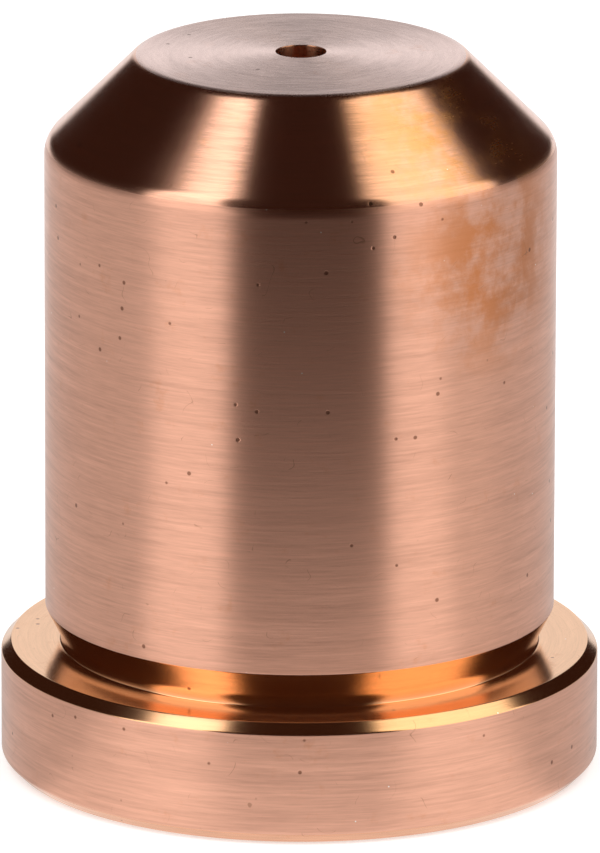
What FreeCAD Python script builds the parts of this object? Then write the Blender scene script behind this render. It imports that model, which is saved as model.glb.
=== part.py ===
"""A plasma cutting torch nozzle, turned from one piece of copper bar.

The nozzle stands on its flange, with its axis on +Z and the origin at the centre of the seating face.
From the bottom up: a flange that the retaining cap clamps, a shallow relief above it, a cylindrical
body, and a cone that ends in an almost flat tip with the orifice in its centre. From below it is hollow: a seat
for the swirl ring, the chamber round the electrode, a converging nose, a small arc pocket and the
orifice. Lengths are in millimetres.
"""

import FreeCAD, Part  # noqa: E401

import math
import os

import Sketcher

PARTS_FOLDER = "parts"
SAME_PLACE = 1e-4

SIZES = [
    # alias, value, what it is
    ("overall_height", 21.8, "seating face to the middle of the tip face"),
    ("body_diameter", 15.2, "cylindrical body"),
    ("flange_width", 1.32, "how far the flange stands out from the body"),
    ("flange_height", 3.7, "seating face to the face that the cap clamps"),
    ("relief_depth", 0.45, "how far the neck lies under the body"),
    ("relief_straight", 0.25, "straight part of the neck, above the flange"),
    ("relief_taper", 0.9, "part of the neck that runs out to the body"),
    ("relief_round", 0.6, "radius between the neck's two parts"),
    ("cone_height", 2.7, "edge of the tip face down to the corner with the body"),
    ("cone_run", 2.7, "how far the cone comes in from the body"),
    ("tip_crown", 0.08, "how far the tip face falls from its middle to its edge"),
    ("tip_round", 0.5, "radius between tip face and cone"),
    ("shoulder_round", 0.8, "radius between cone and body"),
    ("rim_chamfer", 0.3, "upper edge of the flange"),
    ("base_chamfer", 0.35, "lower edge of the flange"),
    ("orifice_diameter", 1.5, "bore that the arc leaves by"),
    ("orifice_length", 3.2, "floor of the arc pocket to the tip face"),
    ("orifice_break", 0.05, "edge broken where the arc enters the orifice"),
    ("pocket_diameter", 3.6, "arc pocket in front of the electrode"),
    ("pocket_depth", 0.6, "straight part of the arc pocket"),
    ("nose_angle", 45.0, "slope of the converging nose, in degrees from the axis"),
    ("nose_round", 0.6, "radius between chamber and nose"),
    ("chamber_wall", 2.4, "body surface to the chamber"),
    ("seat_wall", 1.6, "body surface to the seat of the swirl ring"),
    ("seat_depth", 4.2, "seating face to the shoulder that stops the swirl ring"),
    ("seat_chamfer", 0.3, "mouth of the seat"),
]

# Radii and heights that several features share, as expressions on the sheet.
BODY_R = "sizes.body_diameter / 2"
FLANGE_R = BODY_R + " + sizes.flange_width"
NECK_R = BODY_R + " - sizes.relief_depth"
TIP_R = BODY_R + " - sizes.cone_run"
SEAT_R = BODY_R + " - sizes.seat_wall"
CHAMBER_R = BODY_R + " - sizes.chamber_wall"
POCKET_R = "sizes.pocket_diameter / 2"
ORIFICE_R = "sizes.orifice_diameter / 2"
TIP_Z = "sizes.overall_height"
TIP_EDGE_Z = TIP_Z + " - sizes.tip_crown"
SHOULDER_Z = TIP_EDGE_Z + " - sizes.cone_height"
FLANGE_Z = "sizes.flange_height"
TAPER_Z = FLANGE_Z + " + sizes.relief_straight"
RELIEF_Z = TAPER_Z + " + sizes.relief_taper"
SEAT_Z = "sizes.seat_depth"
POCKET_FLOOR_Z = TIP_Z + " - sizes.orifice_length"
NOSE_END_Z = POCKET_FLOOR_Z + " - sizes.pocket_depth"
NOSE_START_Z = NOSE_END_Z + " - (" + CHAMBER_R + " - " + POCKET_R + ") / tan(sizes.nose_angle * 1 deg)"


def make_sizes(doc):
    """The spreadsheet with one named cell for each driving dimension."""
    sheet = doc.addObject("Spreadsheet::Sheet", "sizes")
    for row, (alias, value, meaning) in enumerate(SIZES, start=1):
        sheet.set(f"A{row}", meaning)
        sheet.set(f"B{row}", str(value))
        sheet.setAlias(f"B{row}", alias)
    doc.recompute()
    return sheet


def value_of(item, expression):
    """What an expression on the sheet gives now, as a plain number. None stands for 0."""
    if expression is None:
        return 0.0
    result = item.evalExpression(expression)
    return float(getattr(result, "Value", result))


def new_sketch(body, name, role):
    """An empty sketch on one of the body's own origin planes."""
    plane = next(f for f in body.Origin.OriginFeatures if f.Role == role)
    sketch = body.newObject("Sketcher::SketchObject", name)
    sketch.AttachmentSupport = (plane, [""])
    sketch.MapMode = "FlatFace"
    return sketch


def bind(sketch, constraint, name, expression):
    """Adds a dimension to a sketch, names it and ties it to the sheet."""
    index = sketch.addConstraint(constraint)
    sketch.renameConstraint(index, name)
    sketch.setExpression("Constraints." + name, expression)


def place_point(sketch, geometry, vertex, name, radius, height):
    """Holds a point at a radius and height from the sheet, or on an axis where one is None."""
    if radius is None:
        sketch.addConstraint(Sketcher.Constraint("PointOnObject", geometry, vertex, -2))
    else:
        value = value_of(sketch, radius)
        distance = Sketcher.Constraint("DistanceX", -1, 1, geometry, vertex, value)
        bind(sketch, distance, name + "_radius", radius)
    if height is None:
        sketch.addConstraint(Sketcher.Constraint("PointOnObject", geometry, vertex, -1))
    else:
        value = value_of(sketch, height)
        distance = Sketcher.Constraint("DistanceY", -1, 1, geometry, vertex, value)
        bind(sketch, distance, name + "_height", height)


def round_corner(sketch, before, after, corner, size):
    """The arc that joins two lines at a left-hand corner, and the lines' new ends."""
    to_start = (before - corner).normalize()
    to_end = (after - corner).normalize()
    half = to_start.getAngle(to_end) / 2
    start = corner + to_start * (size / math.tan(half))
    end = corner + to_end * (size / math.tan(half))
    centre = corner + (to_start + to_end).normalize() * (size / math.sin(half))
    circle = Part.Circle(centre, FreeCAD.Vector(0, 0, 1), size)
    arc = Part.ArcOfCircle(circle, circle.parameter(start), circle.parameter(end))
    return arc, start, end


def draw_profile(sketch, corners):
    """A closed outline, anticlockwise, through corners of (name, radius, height, rounding).

    The rounding is an expression for the radius of that corner, or None for a sharp one. A rounded
    corner keeps its dimensions on a point where the two lines would meet.
    """
    count = len(corners)
    places = []
    for _, radius, height, _ in corners:
        places.append(FreeCAD.Vector(value_of(sketch, radius), value_of(sketch, height), 0))
    starts = list(places)
    ends = [places[(i + 1) % count] for i in range(count)]
    arcs = {}
    for i, (_, _, _, rounding) in enumerate(corners):
        if rounding is not None:
            size = value_of(sketch, rounding)
            after = places[(i + 1) % count]
            arcs[i], ends[i - 1], starts[i] = round_corner(sketch, places[i - 1], after, places[i], size)
    for i in range(count):
        sketch.addGeometry(Part.LineSegment(starts[i], ends[i]), False)
    for i, (name, radius, height, rounding) in enumerate(corners):
        line_in = (i - 1) % count
        if rounding is None:
            sketch.addConstraint(Sketcher.Constraint("Coincident", line_in, 2, i, 1))
            place_point(sketch, i, 1, name, radius, height)
            continue
        arc = sketch.addGeometry(arcs[i], False)
        corner = sketch.addGeometry(Part.Point(places[i]), True)
        sketch.addConstraint(Sketcher.Constraint("Tangent", line_in, 2, arc, 1))
        sketch.addConstraint(Sketcher.Constraint("Tangent", arc, 2, i, 1))
        sketch.addConstraint(Sketcher.Constraint("PointOnObject", corner, 1, line_in))
        sketch.addConstraint(Sketcher.Constraint("PointOnObject", corner, 1, i))
        place_point(sketch, corner, 1, name, radius, height)
        bind(sketch, Sketcher.Constraint("Radius", arc, arcs[i].Radius), name + "_rounding", rounding)


def revolve(body, name, type_id, corners):
    """A full turn of a profile about the nozzle's axis, added or cut."""
    sketch = new_sketch(body, name + "_profile", "XZ_Plane")
    draw_profile(sketch, corners)
    feature = body.newObject(type_id, name)
    feature.Profile = sketch
    feature.ReferenceAxis = (sketch, ["V_Axis"])
    feature.Angle = 360.0
    body.Document.recompute()
    return feature


def turn_blank(body):
    """The outside: flange, body, cone and the tip face, which falls a little from its middle."""
    corners = [
        ("base_centre", None, None, None),
        ("base_edge", FLANGE_R, None, None),
        ("flange_edge", FLANGE_R, FLANGE_Z, None),
        ("flange_root", BODY_R, FLANGE_Z, None),
        ("shoulder", BODY_R, SHOULDER_Z, "sizes.shoulder_round"),
        ("tip_edge", TIP_R, TIP_EDGE_Z, "sizes.tip_round"),
        ("tip_centre", None, TIP_Z, None),
    ]
    return revolve(body, "blank", "PartDesign::Revolution", corners)


def turn_relief(body):
    """The undercut above the flange: a short straight neck that curves and tapers out to the body.

    The cutting profile starts on the flange's face and reaches out over it, clear of the body.
    """
    corners = [
        ("neck_foot", NECK_R, FLANGE_Z, None),
        ("outer_foot", FLANGE_R, FLANGE_Z, None),
        ("outer_top", FLANGE_R, RELIEF_Z, None),
        ("taper_end", BODY_R, RELIEF_Z, None),
        ("neck_top", NECK_R, TAPER_Z, "sizes.relief_round"),
    ]
    return revolve(body, "relief", "PartDesign::Groove", corners)


def bore_inside(body):
    """The hollow: seat for the swirl ring, electrode chamber, converging nose and arc pocket."""
    corners = [
        ("mouth_centre", None, None, None),
        ("mouth", SEAT_R, None, None),
        ("seat_end", SEAT_R, SEAT_Z, None),
        ("chamber_start", CHAMBER_R, SEAT_Z, None),
        ("nose_start", CHAMBER_R, NOSE_START_Z, "sizes.nose_round"),
        ("nose_end", POCKET_R, NOSE_END_Z, None),
        ("pocket_floor", POCKET_R, POCKET_FLOOR_Z, None),
        ("floor_centre", None, POCKET_FLOOR_Z, None),
    ]
    return revolve(body, "chamber", "PartDesign::Groove", corners)


def drill_orifice(body):
    """The orifice, drilled on the axis. Below the arc pocket there is nothing left to cut."""
    sketch = new_sketch(body, "orifice_circle", "XY_Plane")
    centre, axis = FreeCAD.Vector(0, 0, 0), FreeCAD.Vector(0, 0, 1)
    radius = value_of(sketch, ORIFICE_R)
    sketch.addGeometry(Part.Circle(centre, axis, radius), False)
    sketch.addConstraint(Sketcher.Constraint("Coincident", 0, 3, -1, 1))
    bind(sketch, Sketcher.Constraint("Radius", 0, radius), "orifice_radius", ORIFICE_R)
    pocket = body.newObject("PartDesign::Pocket", "orifice")
    pocket.Profile = sketch
    pocket.Reversed = True
    pocket.Type = "Length"
    pocket.setExpression("Length", TIP_Z)
    body.Document.recompute()
    return pocket


def ring_edge(feature, radius, height):
    """The name of the circular edge with this radius at this height."""
    for number, edge in enumerate(feature.Shape.Edges, start=1):
        curve = edge.Curve
        if not isinstance(curve, Part.Circle):
            continue
        same_radius = abs(curve.Radius - radius) < SAME_PLACE
        if same_radius and abs(curve.Center.z - height) < SAME_PLACE:
            return f"Edge{number}"
    raise ValueError(f"no round edge of radius {radius} at height {height}")


def chamfer(body, name, size, places):
    """Chamfers of one size on the round edges at (radius, height)."""
    base = body.Tip
    edges = [ring_edge(base, value_of(base, radius), value_of(base, height)) for radius, height in places]
    feature = body.newObject("PartDesign::Chamfer", name)
    feature.Base = (base, edges)
    feature.setExpression("Size", size)
    body.Document.recompute()
    return feature


def make_nozzle(doc):
    """The whole nozzle, in the order in which it is turned."""
    body = doc.addObject("PartDesign::Body", "nozzle")
    body.Label = "nozzle"
    solid = turn_blank(body)
    for cut in (turn_relief, bore_inside, drill_orifice):
        before = solid.Shape.Volume
        solid = cut(body)
        if solid.Shape.Volume >= before:
            raise RuntimeError(f"{solid.Name} removed nothing")
    chamfer(body, "rim_edge", "sizes.rim_chamfer", [(FLANGE_R, FLANGE_Z)])
    chamfer(body, "base_edge", "sizes.base_chamfer", [(FLANGE_R, None)])
    chamfer(body, "seat_mouth", "sizes.seat_chamfer", [(SEAT_R, None)])
    chamfer(body, "orifice_entry", "sizes.orifice_break", [(ORIFICE_R, POCKET_FLOOR_Z)])
    return body


def check_document(doc):
    """Stops the build if an object of the document failed."""
    for item in doc.Objects:
        if "Invalid" in item.State or "Error" in item.State:
            raise RuntimeError(f"{item.Name} failed: {item.State}")


def write_part(part):
    """Checks one sub-part's solid and writes it as STEP."""
    shape = part.Shape
    if shape.isNull() or not shape.isValid():
        raise RuntimeError(f"{part.Label} has no valid shape")
    if len(shape.Solids) != 1:
        raise RuntimeError(f"{part.Label} has {len(shape.Solids)} solids, and it is one piece")
    shape.exportStep(os.path.join(PARTS_FOLDER, part.Label + ".step"))
    box = shape.BoundBox
    print(f"{part.Label}: {shape.Volume:.2f} mm3, {box.XLength:.3f} x {box.YLength:.3f} x {box.ZLength:.3f} mm")


def main():
    os.makedirs(PARTS_FOLDER, exist_ok=True)
    doc = FreeCAD.newDocument("plasma_nozzle")
    make_sizes(doc)
    nozzle = make_nozzle(doc)
    doc.recompute()
    check_document(doc)
    write_part(nozzle)


main()
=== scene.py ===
# %% [markdown]
# # A plasma torch nozzle in turned copper
# The real nozzle is one piece, turned on a lathe from a copper bar: a flange, a body, a cone and a flat
# tip with the orifice in it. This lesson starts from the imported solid, which gives the size, and builds
# the surface that shows: the same form with finely broken edges, and in it the marks that the lathe,
# heat and handling leave in copper.

# %% Load the frame
import math

import bpy
import numpy as np
from mathutils import Matrix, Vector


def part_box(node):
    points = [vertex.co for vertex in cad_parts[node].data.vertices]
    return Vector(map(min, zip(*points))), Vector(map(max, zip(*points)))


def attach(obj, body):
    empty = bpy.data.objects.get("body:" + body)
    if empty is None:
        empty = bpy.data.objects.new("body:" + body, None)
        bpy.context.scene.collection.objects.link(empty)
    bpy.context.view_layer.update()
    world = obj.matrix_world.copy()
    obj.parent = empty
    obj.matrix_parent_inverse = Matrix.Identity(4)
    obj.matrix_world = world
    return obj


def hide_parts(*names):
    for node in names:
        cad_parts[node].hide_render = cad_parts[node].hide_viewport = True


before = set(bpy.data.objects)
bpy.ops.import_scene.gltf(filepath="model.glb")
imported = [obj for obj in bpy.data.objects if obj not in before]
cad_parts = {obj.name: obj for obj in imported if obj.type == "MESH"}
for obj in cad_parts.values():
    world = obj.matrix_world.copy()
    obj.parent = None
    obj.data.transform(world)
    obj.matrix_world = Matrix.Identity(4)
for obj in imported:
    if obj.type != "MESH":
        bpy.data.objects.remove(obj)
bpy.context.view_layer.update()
low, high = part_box("nozzle")
print("nozzle, mm:", [round(1000 * (b - a), 3) for a, b in zip(low, high)])

# %% [markdown]
# ## The camera
# The nozzle is about as tall as a thumb is wide. The camera stands 39 cm in front of it and 12 cm above
# the table, and looks down through a long lens, which keeps the body's sides nearly parallel. It comes
# first, so that each later step can be judged in the view that matters.

# %% Place the camera
MM = 0.001


def add_camera(distance, height, tilt, roll, lens):
    """A camera in front of the nozzle, tilted down and rolled a little, as a hand-set tripod head is."""
    data = bpy.data.cameras.new("camera")
    data.lens = lens
    data.sensor_width = 36.0
    data.clip_start = 0.01
    data.clip_end = 10.0
    camera = bpy.data.objects.new("camera", data)
    bpy.context.scene.collection.objects.link(camera)
    camera.location = (0.0, -distance * MM, height * MM)
    tilted = Matrix.Rotation(math.radians(90.0 - tilt), 3, "X")
    rolled = Matrix.Rotation(math.radians(roll), 3, "Z")
    camera.rotation_euler = (tilted @ rolled).to_euler()
    bpy.context.scene.camera = camera
    print(f"camera: {tilt} degrees down, lens {lens} mm")


add_camera(distance=391.4, height=124.1, tilt=16.22, roll=0.15, lens=577.5)

# %% [markdown]
# ## The profile
# A turned part is fully said by its half section: a closed line of corners, each with a small radius,
# because a cutting tool leaves no true sharp edge. The line runs from the mouth of the hollow round the
# outside to the tip, and back down through the orifice and the chamber. A Screw modifier could turn a
# drawn line too. Here the points are worked out, so that each stretch of the line keeps its name, for
# its own finish later, and the UV map keeps its true lengths.

# %% Name the sizes, in millimetres
height = 1000 * (high[2] - low[2])
flange_r = 500 * (high[0] - low[0])
flange_width, flange_z = 1.32, 3.7
relief_depth, relief_straight, relief_taper = 0.45, 0.25, 0.9
cone_run, cone_height, crown = 2.7, 2.7, 0.08
orifice_r, orifice_length = 0.75, 3.2
pocket_r, pocket_depth = 1.8, 0.6
chamber_wall, seat_wall, seat_z = 2.4, 1.6, 4.2
base_break, rim_break, mouth_break, orifice_break = 0.35, 0.3, 0.3, 0.05
print(f"nozzle {height:.2f} mm tall, flange {2 * flange_r:.2f} mm wide")

# %% Work out the places
body_r = flange_r - flange_width
neck_r = body_r - relief_depth
tip_r = body_r - cone_run
seat_r = body_r - seat_wall
chamber_r = body_r - chamber_wall
taper_z = flange_z + relief_straight
relief_z = taper_z + relief_taper
middle_z = height + crown * orifice_r / tip_r
tip_z = middle_z - crown
shoulder_z = tip_z - cone_height
pocket_z = middle_z - orifice_length
nose_z = pocket_z - pocket_depth
nose_start_z = nose_z - (chamber_r - pocket_r)
print(f"body {2 * body_r:.2f} mm wide, cone from {shoulder_z:.2f} to {tip_z:.2f} mm")

# %% Name the corners
# Each corner: radius, height, rounding, and the name of the stretch that starts there.
tool_nose, base_round, rim_round, ledge_round, body_round = 0.03, 0.15, 0.06, 0.05, 0.1
relief_round, cone_round, tip_round = 0.6, 0.8, 0.5
orifice_round, pocket_round, nose_round = 0.015, 0.05, 0.6
CORNERS = [
    (seat_r + mouth_break, 0.0, tool_nose, "underside"),
    (flange_r - base_break, 0.0, base_round, "base_break"),
    (flange_r, base_break, base_round, "flange"),
    (flange_r, flange_z - rim_break, rim_round, "rim"),
    (flange_r - rim_break, flange_z, ledge_round, "ledge"),
    (neck_r, flange_z, tool_nose, "neck"),
    (neck_r, taper_z, relief_round, "taper"),
    (body_r, relief_z, body_round, "body"),
    (body_r, shoulder_z, cone_round, "cone"),
    (tip_r, tip_z, tip_round, "tip"),
    (orifice_r, height, orifice_round, "orifice"),
    (orifice_r, pocket_z + orifice_break, orifice_round, "orifice"),
    (orifice_r + orifice_break, pocket_z, orifice_round, "pocket"),
    (pocket_r, pocket_z, pocket_round, "pocket"),
    (pocket_r, nose_z, pocket_round, "nose"),
    (chamber_r, nose_start_z, nose_round, "chamber"),
    (chamber_r, seat_z, tool_nose, "shoulder"),
    (seat_r, seat_z, tool_nose, "seat"),
    (seat_r, mouth_break, tool_nose, "mouth"),
]
# A wide rounding gets more points than a small one.
ARC_STEPS = {cone_round: 12, tip_round: 12, relief_round: 8, nose_round: 8}
SMALL_ARC_STEPS = 3
print(len(CORNERS), "corners")


# %% Round the corners
def round_corner(before, corner, after, radius, steps):
    """Points along the arc that touches both lines of a corner, from the first line to the second.

    The arc's centre lies on the corner's bisector, at the radius over the sine of half the angle. Each
    point is the centre plus the radius times a direction that turns evenly between the two touches.
    """
    a = (before - corner) / np.linalg.norm(before - corner)
    b = (after - corner) / np.linalg.norm(after - corner)
    half = np.arccos(np.clip(a @ b, -1, 1)) / 2
    bisector = (a + b) / np.linalg.norm(a + b)
    centre = corner + bisector * radius / np.sin(half)
    first = (corner + a * radius / np.tan(half) - centre) / radius
    last = (corner + b * radius / np.tan(half) - centre) / radius
    turn = np.arccos(np.clip(first @ last, -1, 1))
    t = np.linspace(0, 1, steps + 1)[:, None]
    return centre + radius * (np.sin((1 - t) * turn) * first + np.sin(t * turn) * last) / np.sin(turn)


def half_section(corners, hold=0.03):
    """The profile's points, and for each point the stretch that leaves it.

    Close to each end of a long straight stretch stands one more point, so that the shading of a rounded
    corner stays in the corner.
    """
    points, names = [], []
    places = np.array([c[:2] for c in corners])
    for i, (_, _, radius, name) in enumerate(corners):
        steps = ARC_STEPS.get(radius, SMALL_ARC_STEPS)
        arc = round_corner(places[i - 1], places[i], places[(i + 1) % len(corners)], radius, steps)
        if points and np.linalg.norm(arc[0] - points[-1]) > 3 * hold:
            run = (arc[0] - points[-1]) / np.linalg.norm(arc[0] - points[-1])
            points += [points[-1] + hold * run, arc[0] - hold * run]
            names += [names[-1]] * 2
        points += list(arc)
        names += [corners[i - 1][3]] * (steps // 2) + [name] * (steps + 1 - steps // 2)
    return np.array(points), names


profile, stretch = half_section(CORNERS)
print(len(profile), "points in the half section")


# %% Turn the profile
def turned_mesh(name, section, angles):
    """A closed surface of revolution as a mesh, in metres, with a UV map.

    A point of the grid is (r cos a, r sin a, z), for each profile point (r, z) and each angle a. U is the
    share of a full turn and V is the share of the profile's length.
    """
    rows, columns = len(section), len(angles)
    r, z = section[:, :1], section[:, 1:]
    x, y = r * np.cos(angles), r * np.sin(angles)
    points = np.stack([x, y, z + 0 * x], axis=-1).reshape(-1, 3) * MM
    i, j = np.meshgrid(np.arange(rows), np.arange(columns), indexing="ij")
    i2, j2 = (i + 1) % rows, (j + 1) % columns
    quads = np.stack([i * columns + j, i * columns + j2, i2 * columns + j2, i2 * columns + j], axis=-1)
    mesh = bpy.data.meshes.new(name)
    mesh.vertices.add(rows * columns)
    mesh.vertices.foreach_set("co", points.ravel())
    mesh.loops.add(quads.size)
    mesh.loops.foreach_set("vertex_index", quads.ravel())
    mesh.polygons.add(rows * columns)
    mesh.polygons.foreach_set("loop_start", np.arange(rows * columns) * 4)
    mesh.polygons.foreach_set("use_smooth", np.ones(rows * columns, dtype=bool))
    steps = np.linalg.norm(np.roll(section, -1, axis=0) - section, axis=1)
    along = np.concatenate([[0], np.cumsum(steps)]) / steps.sum()
    turn = np.append(angles, angles[0] + 2 * np.pi) / (2 * np.pi)
    u = np.stack([turn[j], turn[j + 1], turn[j + 1], turn[j]], axis=-1)
    v = np.stack([along[i], along[i], along[i + 1], along[i + 1]], axis=-1)
    layer = mesh.uv_layers.new(name="turning")
    layer.uv.foreach_set("vector", np.stack([u, v], axis=-1).ravel())
    mesh.update()
    mesh.validate()
    return mesh, steps.sum()


# The first column, where the UV map has its seam, stands at the rear.
COLUMNS = 384
angles = np.linspace(0, 2 * np.pi, COLUMNS, endpoint=False) + np.pi / 2
mesh, section_length = turned_mesh("copper_nozzle", profile, angles)
nozzle = bpy.data.objects.new("copper_nozzle", mesh)
bpy.context.scene.collection.objects.link(nozzle)
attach(nozzle, "root")
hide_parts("nozzle")
print(len(mesh.polygons), "faces, half section", round(section_length, 2), "mm long")

# %% [markdown]
# ## Node helpers
# Materials are small graphs of nodes. They could be wired by hand in the shader editor, but then nobody
# could read how they were made. These helpers add a node with its values, and join sockets by name.


# %% Helpers for node graphs
def add(tree, kind, inputs=None, **settings):
    """A node of that kind, with its settings, its plain inputs as values and its sockets as links."""
    node = tree.nodes.new("ShaderNode" + kind)
    for key, value in settings.items():
        setattr(node, key, value)
    for key, value in (inputs or {}).items():
        if isinstance(value, bpy.types.NodeSocket):
            tree.links.new(value, node.inputs[key])
        else:
            node.inputs[key].default_value = value
    return node


def maths(tree, operation, *values):
    """A Math node's result."""
    return add(tree, "Math", dict(enumerate(values)), operation=operation).outputs[0]


def scaled(tree, value, low_in, high_in, low_out=0.0, high_out=1.0, smooth=True):
    """A value taken from one range to another, held at its ends."""
    kind = "SMOOTHSTEP" if smooth else "LINEAR"
    inputs = {0: value, 1: low_in, 2: high_in, 3: low_out, 4: high_out}
    return add(tree, "MapRange", inputs, interpolation_type=kind).outputs[0]


def blend_colour(tree, factor, first, second):
    """Two colours mixed by a factor."""
    return add(tree, "Mix", {0: factor, 6: first, 7: second}, data_type="RGBA").outputs[2]


# %% [markdown]
# ## The stage
# Metal has no colour of its own to speak of: it shows its surroundings, tinted. So the stage matters
# more than any material. The nozzle stands on a white table. What it mirrors is a white card behind,
# two tall soft boxes at the sides, and a dark room in front, where the camera stands. These could be
# real lamps and boards. Here they are colours by direction, which only reflections see, because then
# each edge of light can be put just where it should fall on the copper.


# %% Light the stage
def direction_angles(tree, vector):
    """Azimuth, 0 towards the camera and positive to its right, and elevation, both in degrees."""
    parts = add(tree, "SeparateXYZ", {0: vector}).outputs
    azimuth = maths(tree, "ARCTAN2", parts[0], maths(tree, "MULTIPLY", parts[1], -1.0))
    squares = [maths(tree, "MULTIPLY", part, part) for part in parts[:2]]
    flat = maths(tree, "SQRT", maths(tree, "ADD", *squares))
    elevation = maths(tree, "ARCTAN2", parts[2], flat)
    return maths(tree, "DEGREES", azimuth), maths(tree, "DEGREES", elevation)


def strip_mask(tree, azimuth, elevation, low_place, high_place):
    """A soft strip of light. A place is elevation, azimuth of the middle and half the width.

    From the low place to the high one, the middle and the width change evenly with the elevation.
    """
    el0, az0, w0 = low_place
    el1, az1, w1 = high_place
    middle = scaled(tree, elevation, el0, el1, az0, az1, smooth=False)
    width = scaled(tree, elevation, el0, el1, w0, w1, smooth=False)
    off = maths(tree, "ABSOLUTE", maths(tree, "SUBTRACT", azimuth, middle))
    side = scaled(tree, maths(tree, "SUBTRACT", off, width), -3.0, 3.0, 1.0, 0.0)
    top = scaled(tree, elevation, el1 - 3.0, el1 + 3.0, 1.0, 0.0)
    return maths(tree, "MULTIPLY", side, top)


# The colour of all that is in the dark.
DARK_ROOM = (0.03, 0.011, 0.006, 1)


def dark_room(tree, vector):
    """What the metal mirrors above the table: dark surroundings, two soft boxes and a white card.

    The soft boxes lean outwards as they rise, and they are brighter at their upper ends.
    """
    azimuth, elevation = direction_angles(tree, vector)
    far = maths(tree, "ABSOLUTE", azimuth)
    left = strip_mask(tree, azimuth, elevation, (-5.0, -46.0, 22.0), (71.0, -73.0, 18.5))
    right = strip_mask(tree, azimuth, elevation, (-5.0, 61.0, 28.0), (70.0, 90.0, 35.0))
    card_height = scaled(tree, elevation, 18.0, 32.0, 1.0, 0.0)
    behind = maths(tree, "MULTIPLY", scaled(tree, far, 160.0, 168.0), card_height)
    leaning = maths(tree, "ADD", elevation, maths(tree, "MULTIPLY", far, 0.3))
    wall_height = scaled(tree, leaning, 30.0, 50.0, 1.0, 0.0)
    side = maths(tree, "MULTIPLY", scaled(tree, far, 55.0, 70.0), wall_height)
    colour = blend_colour(tree, side, DARK_ROOM, (0.6, 0.58, 0.56, 1))
    upper = scaled(tree, elevation, 15.0, 55.0)
    left_colour = blend_colour(tree, upper, (1.5, 1.42, 1.34, 1), (2.2, 2.1, 1.95, 1))
    right_colour = blend_colour(tree, upper, (1.4, 1.3, 1.18, 1), (1.8, 1.65, 1.3, 1))
    colour = blend_colour(tree, left, colour, left_colour)
    colour = blend_colour(tree, right, colour, right_colour)
    return blend_colour(tree, behind, colour, (1.0, 1.0, 1.0, 1))


def light_world():
    """The world: white to the camera, the dark room to reflections, and an even grey light."""
    world = bpy.data.worlds.new("studio")
    world.use_nodes = True
    tree = world.node_tree
    tree.nodes.clear()
    path = add(tree, "LightPath").outputs
    vector = add(tree, "TexCoord").outputs["Generated"]
    colour = blend_colour(tree, path["Is Glossy Ray"], (0.5, 0.5, 0.5, 1), dark_room(tree, vector))
    seen = maths(tree, "MAXIMUM", path["Is Camera Ray"], path["Is Transmission Ray"])
    colour = blend_colour(tree, seen, colour, (1, 1, 1, 1))
    background = add(tree, "Background", {"Color": colour, "Strength": 1.0})
    add(tree, "OutputWorld", {"Surface": background.outputs[0]})
    bpy.context.scene.world = world
    print("world:", len(tree.nodes), "nodes")


light_world()


# %% Lay the table
def table_material():
    """White to the camera, with the nozzle's shadow. In reflections it is dark in front of the nozzle."""
    material = bpy.data.materials.new("white_table")
    material.use_nodes = True
    tree = material.node_tree
    tree.nodes.clear()
    path = add(tree, "LightPath").outputs
    place = add(tree, "TexCoord").outputs["Object"]
    azimuth, _ = direction_angles(tree, place)
    far = maths(tree, "ABSOLUTE", azimuth)
    distance = add(tree, "VectorMath", {0: place}, operation="LENGTH").outputs["Value"]
    off_middle = maths(tree, "ABSOLUTE", maths(tree, "SUBTRACT", azimuth, 3.5))
    front = scaled(tree, off_middle, 30.0, 38.0, 1.0, 0.0)
    front = maths(tree, "MULTIPLY", front, scaled(tree, distance, 0.014, 0.042))
    side = scaled(tree, far, 58.0, 70.0)
    back = scaled(tree, far, 145.0, 162.0)
    colour = blend_colour(tree, side, (1.12, 1.08, 1.04, 1), (0.74, 0.72, 0.7, 1))
    colour = blend_colour(tree, back, colour, (1.0, 1.0, 1.0, 1))
    colour = blend_colour(tree, front, colour, DARK_ROOM)
    mirrored = add(tree, "Emission", {"Color": colour, "Strength": 1.0})
    diffuse = add(tree, "BsdfDiffuse", {"Color": (0.8, 0.8, 0.8, 1)})
    lift = add(tree, "Emission", {"Color": (1, 1, 1, 1), "Strength": 0.45})
    seen = add(tree, "AddShader", {0: diffuse.outputs[0], 1: lift.outputs[0]})
    surface = diffuse.outputs[0]
    for ray, shader in (("Is Camera Ray", seen), ("Is Glossy Ray", mirrored)):
        surface = add(tree, "MixShader", {0: path[ray], 1: surface, 2: shader.outputs[0]}).outputs[0]
    add(tree, "OutputMaterial", {"Surface": surface})
    return material


def lay_table(half_size):
    """A flat square under the nozzle."""
    corners = np.array([(-1, -1, 0), (1, -1, 0), (1, 1, 0), (-1, 1, 0)]) * half_size
    mesh = bpy.data.meshes.new("table")
    mesh.from_pydata(corners.tolist(), [], [(0, 1, 2, 3)])
    mesh.materials.append(table_material())
    table = bpy.data.objects.new("table", mesh)
    bpy.context.scene.collection.objects.link(table)
    print("table:", 2 * half_size, "m wide")


lay_table(3.0)


def add_soft_box(name, azimuth, elevation, distance, size, power):
    """A square lamp that faces the nozzle. It lights the table, and reflections don't see it."""
    data = bpy.data.lights.new(name, "AREA")
    data.shape = "SQUARE"
    data.size = size
    data.energy = power
    lamp = bpy.data.objects.new(name, data)
    bpy.context.scene.collection.objects.link(lamp)
    az, el = math.radians(azimuth), math.radians(elevation)
    lamp.location = (
        distance * math.cos(el) * math.sin(az),
        -distance * math.cos(el) * math.cos(az),
        distance * math.sin(el),
    )
    lamp.rotation_euler = (math.pi / 2 - el, 0.0, az)
    lamp.visible_camera = False
    lamp.visible_glossy = False
    print(name, "gives", power, "W")


add_soft_box("soft_box_left", -60.0, 55.0, 0.6, 0.5, 1.6)
add_soft_box("soft_box_right", 60.0, 55.0, 0.6, 0.5, 1.6)

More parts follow.
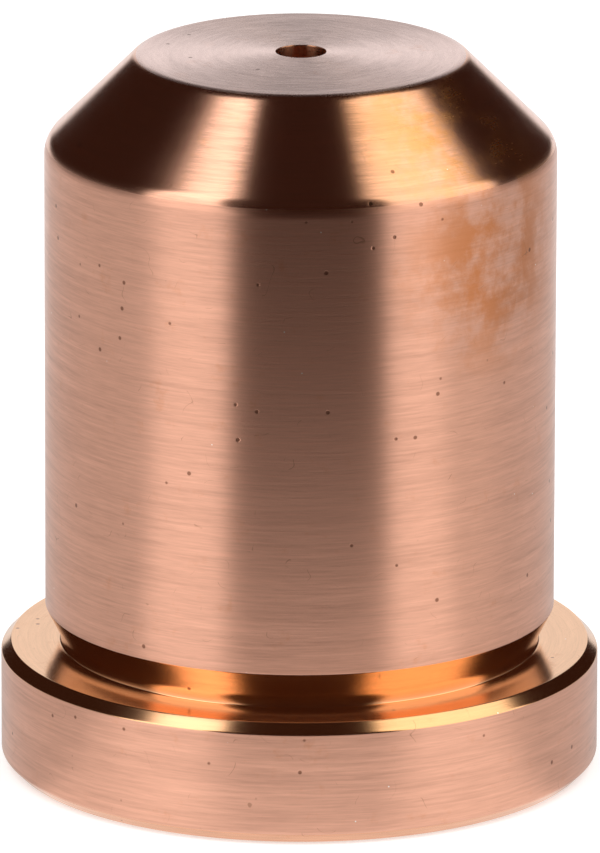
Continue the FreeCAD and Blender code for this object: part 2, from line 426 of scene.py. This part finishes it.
# %% [markdown]
# ## The marks of the lathe
# The colour they drive is painted shade, darker in the low parts of the lines, with some uneven tone.
# The tool leaves a fine spiral groove, less than a tenth of a millimetre from one turn to the next. It
# never is quite even, so the lines come and go as they run round. They could be cut into the mesh,
# but that would take millions of faces, so they are a pattern that drives bump, roughness and colour.
# All turned faces share one node group. It reads the way along the half section, so that the lines lie
# round the body, down the cone and in rings on the tip.


# %% Where a point lies on the nozzle
def turned_place(tree):
    """The way along the half section in mm, the direction round the axis, and the place in mm."""
    uv = add(tree, "UVMap", uv_map="turning").outputs[0]
    share = add(tree, "SeparateXYZ", {0: uv}).outputs[1]
    along = maths(tree, "MULTIPLY", share, section_length)
    place = add(tree, "TexCoord").outputs["Object"]
    flat = add(tree, "VectorMath", {0: place, 1: (1, 1, 0)}, operation="MULTIPLY").outputs[0]
    around = add(tree, "VectorMath", {0: flat}, operation="NORMALIZE").outputs[0]
    place_mm = add(tree, "VectorMath", {0: place, "Scale": 1000.0}, operation="SCALE").outputs[0]
    return along, around, place_mm


def new_group(name, inputs, outputs):
    """An empty node group with named sockets, and its input and output nodes."""
    group = bpy.data.node_groups.new(name, "ShaderNodeTree")
    for title, kind in inputs:
        group.interface.new_socket(title, in_out="INPUT", socket_type="NodeSocket" + kind)
    for title, kind in outputs:
        group.interface.new_socket(title, in_out="OUTPUT", socket_type="NodeSocket" + kind)
    return group, group.nodes.new("NodeGroupInput").outputs, group.nodes.new("NodeGroupOutput").inputs


def use_group(tree, group, inputs):
    """A group placed in a material, with its inputs set or linked."""
    return add(tree, "Group", inputs, node_tree=group).outputs


def noise(tree, vector, scale, detail=2.0, roughness=0.5):
    """A noise between 0 and 1."""
    inputs = {"Vector": vector, "Scale": scale, "Detail": detail, "Roughness": roughness}
    return add(tree, "TexNoise", inputs).outputs[0]


# %% The lathe's lines
def lathe_lines():
    """Height and painted shade of turning lines: noise, fast along the section and slow round it."""
    sockets = [("Along", "Float"), ("Around", "Vector"), ("Lines per mm", "Float"), ("Length", "Float")]
    group, given, result = new_group("lathe_lines", sockets, [("Height", "Float"), ("Shade", "Float")])
    step = maths(group, "MULTIPLY", given["Along"], given["Lines per mm"])
    upright = add(group, "CombineXYZ", {2: step}).outputs[0]
    # Each layer: how fast it changes round the axis, and how much finer it is along the section.
    layers = []
    for turn, fine in ((1.0, 1.0), (4.0, 1.9), (0.5, 0.23)):
        reach = maths(group, "DIVIDE", turn, given["Length"])
        ring = add(group, "VectorMath", {0: given["Around"], "Scale": reach}, operation="SCALE").outputs[0]
        rise = add(group, "VectorMath", {0: upright, "Scale": fine}, operation="SCALE").outputs[0]
        vector = add(group, "VectorMath", {0: ring, 1: rise}, operation="ADD").outputs[0]
        layers.append(noise(group, vector, 1.0, 3.0, 0.6))
    broad = maths(group, "MULTIPLY_ADD", layers[1], 0.5, maths(group, "MULTIPLY", layers[0], 0.7))
    group.links.new(broad, result["Height"])
    # The shade follows the height: painted shade darkens the low parts of the lines, and a slower layer
    # adds uneven tone.
    shade = maths(group, "MULTIPLY_ADD", layers[2], 0.5, broad)
    group.links.new(scaled(group, shade, 0.55, 1.15, smooth=False), result["Shade"])
    return group


LATHE_LINES = lathe_lines()
print("group:", LATHE_LINES.name)

# %% [markdown]
# ## Handling marks
# A used nozzle rattles about in a box. It gets tiny dark pits, pale specks of dust and short hairline
# scratches that cross the turning lines. They could be painted on a picture, but a pattern stays sharp
# at any distance and reaches every face. They are few and small, so each kind is a sparse pattern.


# %% Pits, specks and scratches
def handling_marks():
    """Pits and specks: the near parts of scattered cells. Scratches: thin bands of a bent noise."""
    sockets = [("Place", "Vector"), ("Amount", "Float")]
    outputs = [("Pits", "Float"), ("Specks", "Float"), ("Scratches", "Float")]
    group, given, result = new_group("handling_marks", sockets, outputs)
    # Each kind: cells per mm, the dot's size as a share of a cell, and the share of cells that have one.
    for name, scale, size, share in (("Pits", 1.5, 0.12, 0.3), ("Specks", 1.9, 0.055, 0.2)):
        cells = add(group, "TexVoronoi", {"Vector": given["Place"], "Scale": scale})
        near = scaled(group, cells.outputs["Distance"], size * 0.55, size, 1.0, 0.0)
        pick = add(group, "SeparateXYZ", {0: cells.outputs["Color"]}).outputs[0]
        chosen = maths(group, "LESS_THAN", pick, maths(group, "MULTIPLY", given["Amount"], share))
        group.links.new(maths(group, "MULTIPLY", near, chosen), result[name])
    bent = noise(group, given["Place"], 0.9, 1.0)
    off_line = maths(group, "ABSOLUTE", maths(group, "SUBTRACT", bent, 0.5))
    thin = scaled(group, off_line, 0.0008, 0.003, 1.0, 0.0)
    sparse = scaled(group, noise(group, given["Place"], 1.7, 1.0), 0.6, 0.66)
    group.links.new(maths(group, "MULTIPLY", thin, sparse), result["Scratches"])
    return group


HANDLING_MARKS = handling_marks()
print("group:", HANDLING_MARKS.name)

# %% [markdown]
# ## Heat and finger tarnish
# Copper browns where it was hot or touched. On this nozzle one side of the body's top and of the cone
# is stained orange in wiped streaks, and faint blotches lie all over. A stain could be painted by hand.
# Here it is a cloudy noise inside a soft ball, which can be moved by changing its middle.


# %% Tarnish
def tarnish():
    """How stained a place is: cloudy streaks, strongest within a radius of a given middle."""
    sockets = [("Place", "Vector"), ("Middle", "Vector"), ("Radius", "Float")]
    group, given, result = new_group("tarnish", sockets, [("Stain", "Float"), ("Blotches", "Float")])
    ends = {0: given["Place"], 1: given["Middle"]}
    away = add(group, "VectorMath", ends, operation="DISTANCE").outputs["Value"]
    reach = scaled(group, maths(group, "DIVIDE", away, given["Radius"]), 0.25, 1.0, 1.0, 0.0)
    cloudy = noise(group, given["Place"], 0.55, 6.0, 0.68)
    stain = maths(group, "MULTIPLY", reach, scaled(group, cloudy, 0.38, 0.62))
    group.links.new(stain, result["Stain"])
    blotches = scaled(group, noise(group, given["Place"], 1.3, 5.0, 0.7), 0.57, 0.75)
    group.links.new(blotches, result["Blotches"])
    return group


TARNISH = tarnish()
print("group:", TARNISH.name)

# %% [markdown]
# ## Copper finishes
# Each stretch of the profile was cut with its own tool and feed, so each gets its own copper: the body
# and the flange are matt, the cone is fine, the relief and the chamfers are bright, and the tip has
# rings. A groove spreads light across itself, and that is what anisotropy does: here it stretches
# reflections along the section, which gives the upright bands on the body and the fans on the tip.
# The bright copper's golden colour is partly a painted reflection of the copper around it.


# %% A turned copper
# How far a turning line runs before it changes, as a share of the radius.
LINE_LENGTH = 0.35
SCRATCH_BROWN, PIT_BROWN, DUST = (0.3, 0.14, 0.08, 1), (0.16, 0.06, 0.03, 1), (0.95, 0.9, 0.86, 1)


def turned_copper(name, colour, stain, stained, rough, anisotropy, depth_um, lines, shade, marks=1.0):
    """A copper with turning lines, so many to the mm and of a depth in micrometres.

    Stain is a colour and stained is its middle and radius in mm. Shade is how much painted shade darkens
    the low parts of the lines, and marks scales the number of pits and specks. The quarter turn of the
    anisotropy makes the gloss wide along the section and narrow round it.
    """
    material = bpy.data.materials.new(name)
    material.use_nodes = True
    tree = material.node_tree
    tree.nodes.clear()
    along, around, place = turned_place(tree)
    way = {"Along": along, "Around": around, "Lines per mm": lines, "Length": LINE_LENGTH}
    turned = use_group(tree, LATHE_LINES, way)
    worn = use_group(tree, HANDLING_MARKS, {"Place": place, "Amount": marks})
    middle, radius = stained
    dull = use_group(tree, TARNISH, {"Place": place, "Middle": middle, "Radius": radius})
    # Painted shade: where a line is low, the colour takes this darker copy.
    dark = tuple(c * (1 - shade) for c in colour)
    base = blend_colour(tree, turned["Shade"], dark + (1,), colour + (1,))
    base = blend_colour(tree, maths(tree, "MULTIPLY", dull["Stain"], 0.8), base, stain + (1,))
    base = blend_colour(tree, maths(tree, "MULTIPLY", dull["Blotches"], 0.22), base, stain + (1,))
    base = blend_colour(tree, maths(tree, "MULTIPLY", worn["Scratches"], 0.5), base, SCRATCH_BROWN)
    base = blend_colour(tree, maths(tree, "MULTIPLY", worn["Pits"], 0.75), base, PIT_BROWN)
    base = blend_colour(tree, worn["Specks"], base, DUST)
    uneven = maths(tree, "MULTIPLY_ADD", turned["Shade"], -0.06, rough + 0.03)
    roughness = maths(tree, "MULTIPLY_ADD", dull["Stain"], 0.08, uneven)
    relief = maths(tree, "SUBTRACT", turned["Height"], maths(tree, "MULTIPLY", worn["Pits"], 1.5))
    bump = add(tree, "Bump", {"Height": relief, "Distance": depth_um * 1e-6, "Strength": 1.0})
    tangent = add(tree, "Tangent", direction_type="UV_MAP", uv_map="turning")
    shader = add(tree, "BsdfPrincipled", {
        "Base Color": base,
        "Metallic": 1.0,
        "Roughness": roughness,
        "Anisotropic": anisotropy,
        "Anisotropic Rotation": 0.25,
        "Tangent": tangent.outputs[0],
        "Normal": bump.outputs[0],
    })
    add(tree, "OutputMaterial", {"Surface": shader.outputs[0]})
    print("made", name)
    return material


# %% Make the coppers
PINK, ORANGE, GOLD = (0.88, 0.475, 0.345), (0.62, 0.22, 0.07), (0.86, 0.4, 0.13)
# A stain's middle and radius, in mm. The last one lies in the empty hollow, where it touches no copper.
STAIN_ON_BODY = ((5.7, -4.9, 16.9), 4.4)
STAIN_ON_CONE = ((4.4, -3.6, 20.0), 4.6)
STAIN_INSIDE = ((0, 0, 12), 9.0)
NO_STAIN = ((0, 0, 0), 1.0)

matt_turned = turned_copper(
    "matt_turned", PINK, ORANGE, STAIN_ON_BODY,
    rough=0.315, anisotropy=0.8, depth_um=2.4, lines=11.5, shade=0.3,
)
fine_turned = turned_copper(
    "fine_turned", (0.9, 0.5, 0.36), GOLD, STAIN_ON_CONE,
    rough=0.2, anisotropy=0.75, depth_um=1.2, lines=11.5, shade=0.25,
)
faced_rings = turned_copper(
    "faced_rings", (0.87, 0.62, 0.56), ORANGE, NO_STAIN,
    rough=0.27, anisotropy=0.85, depth_um=1.6, lines=7.0, shade=0.2, marks=0.4,
)
# More golden than the other coppers: a painted reflection of the copper that the relief mirrors. The low
# roughness is the real bright finish.
bright_turned_painted_reflection = turned_copper(
    "bright_turned_painted_reflection", (0.93, 0.53, 0.3), ORANGE, NO_STAIN,
    rough=0.16, anisotropy=0.55, depth_um=0.5, lines=14.0, shade=0.15, marks=1.3,
)
bored = turned_copper(
    "bored", (0.84, 0.44, 0.28), ORANGE, STAIN_INSIDE,
    rough=0.26, anisotropy=0.7, depth_um=2.0, lines=9.0, shade=0.25, marks=0.6,
)


# %% Give each stretch its finish
# The stretches that aren't named here are bored.
FINISHES = [
    (matt_turned, ["flange", "body"]),
    (fine_turned, ["cone"]),
    (faced_rings, ["tip", "underside"]),
    (bright_turned_painted_reflection, ["rim", "ledge", "neck", "taper"]),
    (bored, []),
]


def dress(mesh, columns, names):
    """One material slot for each finish, and each row of faces takes the finish of its stretch."""
    slots = {}
    for index, (material, stretches) in enumerate(FINISHES):
        mesh.materials.append(material)
        slots.update({name: index for name in stretches})
    rows = np.array([slots.get(name, len(FINISHES) - 1) for name in names])
    mesh.polygons.foreach_set("material_index", np.repeat(rows, columns).astype(np.int32))
    mesh.update()
    print("rows of faces in each finish:", np.bincount(rows).tolist())


dress(mesh, COLUMNS, stretch)

# %% [markdown]
# ## Show
# The Standard view shows a colour about as it is written, so the copper isn't graded.

# %% Standard view transform
bpy.context.scene.view_settings.view_transform = "Standard"
print("view transform: Standard")
